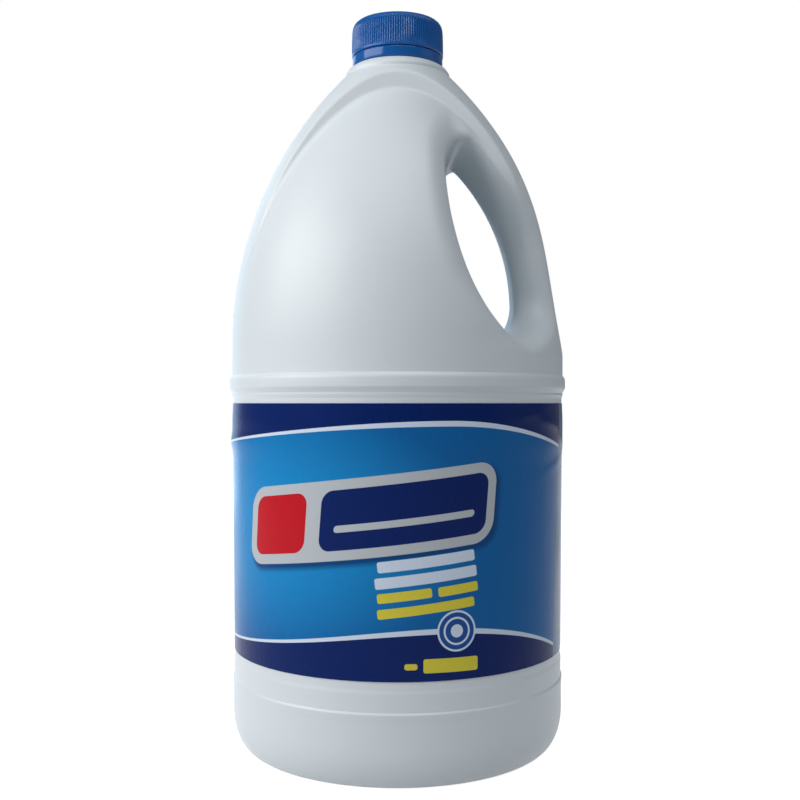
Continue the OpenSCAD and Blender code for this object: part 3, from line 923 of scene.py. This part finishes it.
# %% [markdown]
# ## Finish of the blown plastic
#
# The bottle is natural white polyethylene, a touch blue, with a satin skin. The mould leaves a
# very fine grain, the wall thickness varies so the tone drifts a little from place to place,
# and a thin parting line runs up both sides where the mould halves met.

# %% Satin polyethylene
satin = Finish("satin_polyethylene")
where = satin.place()
drift = satin.noise(where, 45, 2)
grain = satin.noise(where, 0.5, 3)
scuff = satin.noise(where, 7, 4, (1, 1, 0.35))
from_parting = abs(satin.axes(where)[1])
parting = (1 - from_parting / 0.35).clamp()
satin.surface(
    Base_Color=satin.blend(drift, (0.66, 0.71, 0.74), (0.71, 0.755, 0.785)),
    Roughness=0.36 + 0.1 * scuff,
    Normal=satin.bump(0.12 * grain + 0.5 * parting + 0.1 * scuff, 0.12, 0.6),
    IOR=1.5,
)
for piece in (bottle, neck_thread):
    piece.data.materials.append(satin.material)
print("satin skin on the bottle")

# %% [markdown]
# ## Finish of the cap, the band and the liner
#
# Cap and band are blue polypropylene, smoother and glossier than the bottle and a little
# mottled by the pigment. The liner is white foam with fine cells.

# %% Blue plastic and white foam
blue = Finish("blue_polypropylene")
where = blue.place()
mottle = blue.noise(where, 3, 3)
blue.surface(
    Base_Color=blue.blend(mottle, (0.003, 0.085, 0.33), (0.006, 0.11, 0.39)),
    Roughness=0.1 + 0.08 * mottle,
    Normal=blue.bump(blue.noise(where, 0.6, 2), 0.03, 0.3),
    IOR=1.49,
    Specular_IOR_Level=0.34,
)
for piece in (cap, cap_thread, band):
    piece.data.materials.append(blue.material)

foam = Finish("liner_foam")
where = foam.place()
cells = foam.node("ShaderNodeTexVoronoi", {}, {"Vector": where, "Scale": 2.2}, "Distance")
foam.surface(
    Base_Color=foam.blend(cells, (0.78, 0.78, 0.75), (0.86, 0.86, 0.84)),
    Roughness=0.85,
    Normal=foam.bump(cells, 0.08, 0.7),
)
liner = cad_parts["cap_liner"]
liner.data.materials.clear()
liner.data.materials.append(foam.material)
print("cap, band and liner finished")

# %% [markdown]
# ## Print on the film
#
# The print is navy above and below and azure between, with a white stripe along each border.
# Both stripes rise to a crest right of the middle and thin out toward the sides. The film is
# unrolled by its angle round the bottle: `s` is the distance along it in millimetres from the
# middle of the front, and `z` the height. Everything printed is a formula of those two. The
# plain plate and bars stand where a pack of this kind carries its name and its lines of text.

# %% Unrolled film
gloss = Finish("printed_film")
where = gloss.place()
right, back, z = gloss.axes(where)
FILM_R = 75.2
around = right.math("ARCTAN2", right, 0 - back) * FILM_R
seam_s = FILM_R * (math.pi / 2 + GAP_TURN)
s = around - (around > seam_s) * (2 * math.pi * FILM_R)


def within(distance, soft=0.16):
    """Mask that is 1 where the distance is below zero, with a soft edge."""
    return (0.5 - distance / soft).clamp()


def crest(peak_s, peak_z, left, right):
    """Height of a stripe that falls off to both sides of its crest."""
    d = s - peak_s
    square = d * d
    falls = [k * square / (1 + m * square) for k, m in (left, right)]
    on_left = d < 0
    return peak_z - (on_left * falls[0] + (1 - on_left) * falls[1])


def bar(s_mid, z_mid, half_s, half_z, turn=0.0, round_r=None, slant=0.0):
    """Distance to the edge of a rounded bar, turned and slanted on the film."""
    c, n = math.cos(math.radians(turn)), math.sin(math.radians(turn))
    p = (s - s_mid) * c + (z - z_mid) * n
    q = (z - z_mid) * c - (s - s_mid) * n
    p = p - q * slant
    round_r = half_z if round_r is None else round_r
    a = (abs(p) - (half_s - round_r)).high(0)
    b = (abs(q) - (half_z - round_r)).high(0)
    return (a * a + b * b).root() - round_r


# %% Stripes and fields
NAVY, AZURE, DEEP = (0.003, 0.017, 0.12), (0.012, 0.26, 0.6), (0.007, 0.125, 0.37)
WHITE, SILVER = (0.66, 0.74, 0.86), (0.5, 0.53, 0.56)
RED, YELLOW = (0.55, 0.01, 0.02), (0.72, 0.62, 0.06)
PLATE_SHADE, BADGE_BLUE, MARGIN_BLUE = (0.004, 0.06, 0.2), (0.02, 0.08, 0.3), (0.09, 0.17, 0.3)
top_z = crest(22, 146.4, (0.00095, 4.2e-5), (0.0031, 8e-5))
low_z = crest(17, 64.1, (0.0023, 1.1e-4), (0.0032, 1e-5))
taper = 1 / (1 + (s - 20) * (s - 20) * 0.0003)
glow = (1 - ((s + 55) * (s + 55) * 0.00012 + (z - 104) * (z - 104) * 0.0004)).clamp()
ink = gloss.blend(glow, DEEP, AZURE)
ink = gloss.blend(within(top_z - z), ink, NAVY)
ink = gloss.blend(within(z - low_z), ink, NAVY)
thick = 0.35 + 0.75 * taper
for line in (top_z, low_z):
    ink = gloss.blend(within(abs(z - line) - thick), ink, WHITE)

# %% Plate, bars and badge
TILT, SLANT = 6.5, 0.2


def field(colour, s_mid, z_mid, half_s, half_z, round_r=None, soft=0.16):
    """The print so far, with a tilted field of one colour laid on it."""
    edge = bar(s_mid, z_mid, half_s, half_z, TILT, round_r, SLANT)
    return gloss.blend(within(edge, soft), ink, colour)


ink = field(PLATE_SHADE, -13.5, 107.2, 57.5, 16.5, 9, soft=2.5)
ink = field(SILVER, -15, 109, 57, 16, 9)
ink = field(RED, -53, 104.7, 14.5, 12, 5)
ink = field(NAVY, 3, 111, 35, 12, 5)
ink = field(SILVER, 3, 107.5, 29, 1.4)
for colour, turn, *place in (
    (WHITE, TILT, 12, 91.8, 20, 2.2),
    (WHITE, TILT, 12, 85.4, 21, 2.2),
    (YELLOW, TILT, 3, 78.4, 11, 1.9),
    (YELLOW, TILT, 25, 80.6, 8.5, 1.9),
    (YELLOW, TILT, 12, 73.2, 20, 1.9),
    (YELLOW, 0, 22, 50.6, 11.5, 2.8),
    (YELLOW, 0, 5.5, 50.4, 2.6, 1.2),
):
    ink = gloss.blend(within(bar(*place, turn, 0.9)), ink, colour)
from_badge = ((s - 24.3) * (s - 24.3) + (z - 64) * (z - 64)).root()
for edge, colour in (
    (from_badge - 8.2, WHITE),
    (from_badge - 7.4, BADGE_BLUE),
    (abs(from_badge - 5.2) - 0.4, WHITE),
    (from_badge - 2.6, WHITE),
):
    ink = gloss.blend(within(edge), ink, colour)
print_end = 91 + (z - 136) * 0.07
ink = gloss.blend(within(print_end - s), ink, MARGIN_BLUE)

# %% Gloss of the film
fine = gloss.noise(where, 12, 3, (1, 1, 0.5))
gloss.surface(
    Base_Color=ink,
    Roughness=0.2 + 0.12 * fine,
    Normal=gloss.bump(fine, 0.35, 0.25),
    IOR=1.5,
    Specular_IOR_Level=0.07,
)
film.data.materials.append(gloss.material)
print("print on the film")
